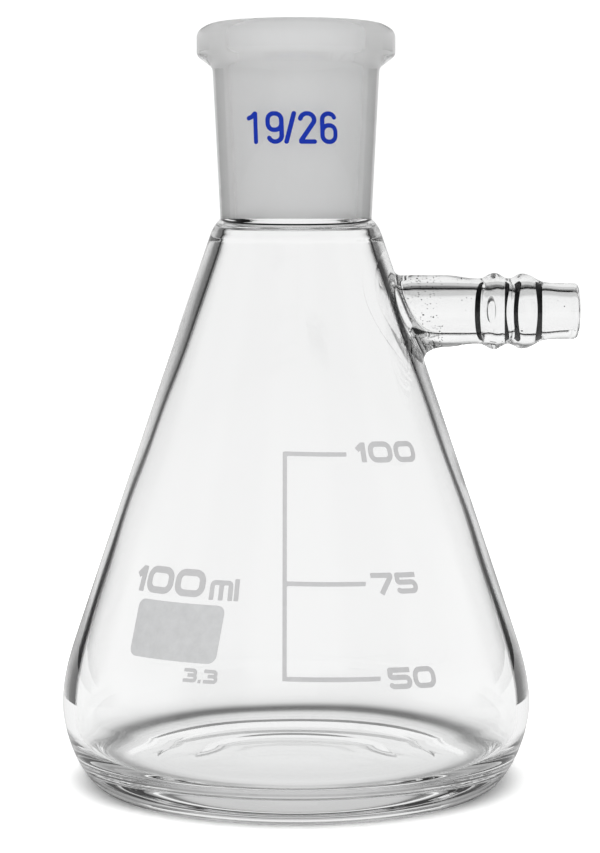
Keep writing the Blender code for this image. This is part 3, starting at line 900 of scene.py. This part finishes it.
def glass(name, edges=()):
    """Clear glass. With edges, its colour and transmission are painted dark by the facing value where light
    skims the wall, seen from the air or from within: painted shade.
    """
    made, tree, shader = new_material(name)
    shader.inputs["Base Color"].default_value = (0.993, 0.996, 0.995, 1)
    shader.inputs["Roughness"].default_value = 0.0
    shader.inputs["IOR"].default_value = IOR
    shader.inputs["Transmission Weight"].default_value = 1.0
    add_bump(tree, shader, add_noise(tree, 90, 2.0), 0.25, 0.00002)
    if not edges:
        return made
    critical = 1 - math.sqrt(1 - 1 / IOR**2)  # facing value where total reflection starts
    weight = tree.nodes.new("ShaderNodeLayerWeight")
    weight.inputs["Blend"].default_value = 0.5
    within = tree.nodes.new("ShaderNodeNewGeometry").outputs["Backfacing"]
    height = add_position(tree)[2]

    def shade(stops):
        return add_ramp(tree, weight.outputs["Facing"], stops)

    def mix(share, first, second):
        node = tree.nodes.new("ShaderNodeMix")
        node.data_type = "RGBA"
        for socket, source in zip((0, 6, 7), (share, first, second)):
            tree.links.new(source, node.inputs[socket])
        return node.outputs[2]

    def over_height(ramps):
        blended = ramps[0]
        for (low, *_), (high, *_), ramp in zip(edges, edges[1:], ramps[1:]):
            blended = mix(add_range(tree, height, low * MM, high * MM, kind="LINEAR"), blended, ramp)
        return blended

    # Painted shade: base colour and transmission drop to near black where the wall is skimmed.
    from_air = over_height([shade(((0.0, 0.993), *air, (1.0, 0.001))) for _, air, _ in edges])
    from_glass = shade(((0.0, 0.993), (critical - 0.003, 0.993), (critical, 0.001), (1.0, 0.001)))
    tree.links.new(mix(within, from_air, from_glass), shader.inputs["Base Color"])
    skims = [shade([(critical - 0.004, 1.0)] + [(critical + at, v) for at, v in skim]) for *_, skim in edges]
    clear = shade(((0.0, 1.0), (1.0, 1.0)))
    tree.links.new(mix(within, clear, over_height(skims)), shader.inputs["Transmission Weight"])
    return made


def ground_glass(name):
    """For the socket's bore, ground matt."""
    made, tree, shader = new_material(name)
    grain = add_noise(tree, 9000, 2.0, 0.6)
    cloud = add_noise(tree, 140, 3.0)
    colour = add_ramp(tree, cloud, [(0.3, (0.94, 0.942, 0.943)), (0.7, (0.965, 0.967, 0.968))])
    tree.links.new(colour, shader.inputs["Base Color"])
    tree.links.new(add_ramp(tree, cloud, [(0.3, 0.4), (0.7, 0.46)]), shader.inputs["Roughness"])
    shader.inputs["IOR"].default_value = IOR
    shader.inputs["Transmission Weight"].default_value = 0.5
    add_bump(tree, shader, grain, 0.3, 0.00001)
    return made


def dark_paint_material(name):
    """Painted shade: near-black, opaque glass where light turned aside looks black, on the steep steps in the
    arm's bore on the print's side, the rings in the neck's inside and the bubbles."""
    made, _, shader = new_material(name)
    shader.inputs["Base Color"].default_value = (0.006, 0.006, 0.007, 1)
    shader.inputs["Roughness"].default_value = 0.3
    shader.inputs["IOR"].default_value = IOR
    shader.inputs["Specular IOR Level"].default_value = 0.15
    shader.inputs["Transmission Weight"].default_value = 0.0
    return made


def invisible(name):
    """For the faces inside the glass where two pieces meet: nothing shows there."""
    made, _, shader = new_material(name)
    shader.inputs["Base Color"].default_value = (1, 1, 1, 1)
    shader.inputs["Alpha"].default_value = 0.0
    return made


def enamel(name, colour, spread, roughness):
    """Fired print, mottled by a share of its colour."""
    made, tree, shader = new_material(name)
    mottle = add_noise(tree, 900, 4.0, 0.6)
    light = tuple(c * (1 + spread) for c in colour)
    dark = tuple(c * (1 - spread) for c in colour)
    tree.links.new(add_ramp(tree, mottle, [(0.3, dark), (0.7, light)]), shader.inputs["Base Color"])
    shader.inputs["Roughness"].default_value = roughness
    shader.inputs["Specular IOR Level"].default_value = 0.15
    add_bump(tree, shader, add_noise(tree, 4000, 2.0), 0.2, 0.00001)
    return made


# Studio -------------------------------------------------------------------------------------------


def make_world():
    world = bpy.data.worlds.new("studio")
    bpy.context.scene.world = world
    world.use_nodes = True
    tree = world.node_tree
    tree.nodes.clear()
    maths = maths_for(tree)

    def ramp(value, start, stop):
        return add_range(tree, value, start, stop)

    def times(first, second):
        return maths("MULTIPLY", first, second)

    def less(value):
        return maths("SUBTRACT", 1.0, value)

    x, y, z = add_position(tree, "Generated")
    azimuth = times(maths("ARCTAN2", x, y), 180 / math.pi)
    elevation = times(maths("ARCSINE", z), 180 / math.pi)

    # A bright backdrop on four sides, with a dim ceiling. Between the sides it is nearly black below eye
    # level and somewhat dimmer above it.
    off_side = maths("ABSOLUTE", maths("SUBTRACT", maths("MODULO", maths("ADD", azimuth, 405.0), 90.0), 45.0))
    above = ramp(elevation, 0, 6)
    black = times(times(ramp(off_side, 26, 32), less(above)), 0.96)
    dimmer = times(times(ramp(off_side, 20, 33), above), 0.6)
    ceiling = times(0.7, ramp(elevation, 32, 48))
    lintel = times(0.34, ramp(elevation, 9, 17))
    room = times(times(less(black), times(less(ceiling), less(lintel))), 0.94)
    seen_through = times(room, less(dimmer))

    # Mirrored in the glass, the room shows on all sides alike, but is dim on the camera's side.
    dim = less(times(0.6, ramp(maths("ABSOLUTE", azimuth), 80, 100)))
    mirrored = times(times(room, dim), MIRRORED)

    # Matt surfaces are lit mostly from the camera's side, and the backdrop itself is overexposed.
    path = tree.nodes.new("ShaderNodeLightPath").outputs
    lamp = maths("ADD", 0.76, maths("ADD", times(-0.5, y), times(-0.08, x)))
    level = mixed(maths, path["Is Reflection Ray"], seen_through, mirrored)
    level = mixed(maths, maths("MINIMUM", path["Diffuse Depth"], 1.0), level, lamp)
    level = mixed(maths, path["Is Camera Ray"], level, 1.06)
    background = tree.nodes.new("ShaderNodeBackground")
    tree.links.new(level, background.inputs["Strength"])
    background.inputs["Color"].default_value = (1.0, 1.0, 1.0, 1)
    out = tree.nodes.new("ShaderNodeOutputWorld")
    tree.links.new(background.outputs[0], out.inputs["Surface"])
    world.cycles.sampling_method = "NONE"


def make_floor():
    count = 96
    rings = np.geomspace(20, FLOOR_REACH, 12)
    angles = [2 * math.pi * j / count for j in range(count)]
    points = [(0, 0, 0)] + [(r * math.cos(a), r * math.sin(a), 0) for r in rings for a in angles]
    faces = [(0, 1 + j, 1 + (j + 1) % count) for j in range(count)]
    for i in range(len(rings) - 1):
        for j in range(count):
            k = (j + 1) % count
            a, b = 1 + i * count, 1 + (i + 1) * count
            faces.append((a + j, b + j, b + k, a + k))
    floor = mesh_object("floor", points, faces, [floor_material()], smooth=False)


def floor_material():
    """Overexposed for the camera; through the glass an even glow. A painted contact shadow shows in both."""
    made, tree, shader = new_material("pale_floor")
    tree.nodes.remove(shader)
    maths = maths_for(tree)

    # The painted contact shadow: a soft ring, shifted back because the light comes over the camera.
    x, y, _ = add_position(tree)
    back = maths("DIVIDE", maths("SUBTRACT", y, SHADOW_SHIFT * MM), SHADOW_STRETCH)
    square = maths("ADD", maths("POWER", x, 2.0), maths("POWER", maths("ABSOLUTE", back), 2.0))
    away = maths("SQRT", square)
    reach = maths("DIVIDE", away, SHADOW_REACH * MM)
    ring = add_ramp(tree, reach, [(r / SHADOW_REACH, level) for r, level in SHADOW])
    depth = add_range(tree, y, SHADOW_HALF_Y * MM, SHADOW_FULL_Y * MM, to=(0.5, 1.0))
    lit = maths("SUBTRACT", 1.0, maths("MULTIPLY", maths("SUBTRACT", 1.0, ring), depth))

    # Mirrored in the walls, the floor shows without its contact shadow.
    path = tree.nodes.new("ShaderNodeLightPath").outputs
    far = maths("DIVIDE", away, FLOOR_REACH * MM)
    even = add_ramp(tree, far, [(0.0, 0.97), (0.1, 0.97), (1.0, 0.94)])
    within = maths("GREATER_THAN", path["Transmission Depth"], 2.5)
    mirrored = maths("MULTIPLY", maths("MINIMUM", path["Glossy Depth"], 1.0), within)
    strength = maths("MULTIPLY", even, mixed(maths, mirrored, lit, 1.0))
    strength = maths("MULTIPLY", strength, mixed(maths, path["Is Reflection Ray"], 1.0, MIRRORED))
    glow = tree.nodes.new("ShaderNodeEmission")
    tree.links.new(strength, glow.inputs["Strength"])
    glow.inputs["Color"].default_value = (1.0, 1.0, 1.0, 1)

    patches = add_noise(tree, 30, 3.0)
    shade = add_ramp(tree, patches, [(0.3, (0.935, 0.937, 0.935)), (0.7, (0.945, 0.947, 0.945))])
    scaled = tree.nodes.new("ShaderNodeVectorMath")
    scaled.operation = "SCALE"
    tree.links.new(shade, scaled.inputs[0])
    exposed = maths("MULTIPLY", FLOOR_EXPOSURE, maths("SQRT", lit))
    tree.links.new(mixed(maths, path["Is Camera Ray"], 1.0, exposed), scaled.inputs["Scale"])
    diffuse = tree.nodes.new("ShaderNodeBsdfDiffuse")
    tree.links.new(scaled.outputs[0], diffuse.inputs["Color"])
    either = tree.nodes.new("ShaderNodeMixShader")
    tree.links.new(maths("MAXIMUM", path["Is Camera Ray"], path["Is Diffuse Ray"]), either.inputs[0])
    tree.links.new(glow.outputs[0], either.inputs[1])
    tree.links.new(diffuse.outputs[0], either.inputs[2])
    tree.links.new(either.outputs[0], tree.nodes["Material Output"].inputs["Surface"])
    return made


def make_camera():
    data = bpy.data.cameras.new("camera")
    data.sensor_width = 36.0
    data.lens = LENS
    data.clip_start, data.clip_end = 0.01, 20
    camera = bpy.data.objects.new("camera", data)
    camera.location = [c * MM for c in CAMERA_PLACE]
    camera.rotation_euler = (math.radians(90 - CAMERA_FALL), 0, 0)
    bpy.context.scene.collection.objects.link(camera)
    bpy.context.scene.camera = camera


def main():
    scene = bpy.context.scene
    scene.view_settings.view_transform = "Standard"
    scene.cycles.max_bounces = 32
    scene.cycles.transmission_bounces = 32
    scene.cycles.glossy_bounces = 16
    scene.cycles.transparent_max_bounces = 32

    clear = glass("clear_glass")
    inner = glass("clear_glass_inside", edges=WALL_EDGE_SHADE)
    inner_arm = glass("arm_glass_inside", edges=ARM_EDGE_SHADE)
    arm_clear = glass("arm_glass")
    ground = ground_glass("ground_surface")
    cap = invisible("joined_inside")
    grey = enamel("grey_enamel", (0.58, 0.58, 0.585), 0.03, 0.6)
    spot = enamel("spot_enamel", (0.62, 0.625, 0.63), 0.05, 0.65)
    blue = enamel("blue_enamel", (0.003, 0.027, 0.37), 0.08, 0.35)

    # Near-black glass that paints shade.
    dark_paint = dark_paint_material("painted_black_lines")
    body = make_body([clear, inner, cap, dark_paint, glass("heel_glass")])
    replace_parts(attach(body, "root"), "flask_body")
    socket = make_socket([clear, ground, cap])
    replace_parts(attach(socket, "root"), "ground_socket")
    arm = make_arm([arm_clear, inner_arm, cap, dark_paint])
    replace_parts(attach(arm, "root"), "side_arm")
    bubbles = make_bubbles(dark_paint)
    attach(bubbles, "root")

    scale = make_scale(grey)
    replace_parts(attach(scale, "root"), "graduation_scale")
    spot_piece = make_spot(spot)
    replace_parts(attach(spot_piece, "root"), "marking_spot")
    for name, text, height, start, stop, foot, tilt, gap, stroke, slot in NUMERALS:
        width = cone_radius(foot + height / 2) * math.radians(stop - start)
        place = on_cone(start, foot, tilt)
        made = print_text(name, text, WIDE, height, width, gap, stroke, True, place, grey)
        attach(made, "root")
    place = on_tube(JOINT_AZIMUTH, JOINT_Z)
    height, width, stroke = JOINT_SIZE
    made = print_text("joint_size_digits", "19/26", UPRIGHT, height, width, 0.0, stroke, False, place, blue)
    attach(made, "root")

    make_world()
    make_floor()
    make_camera()


main()
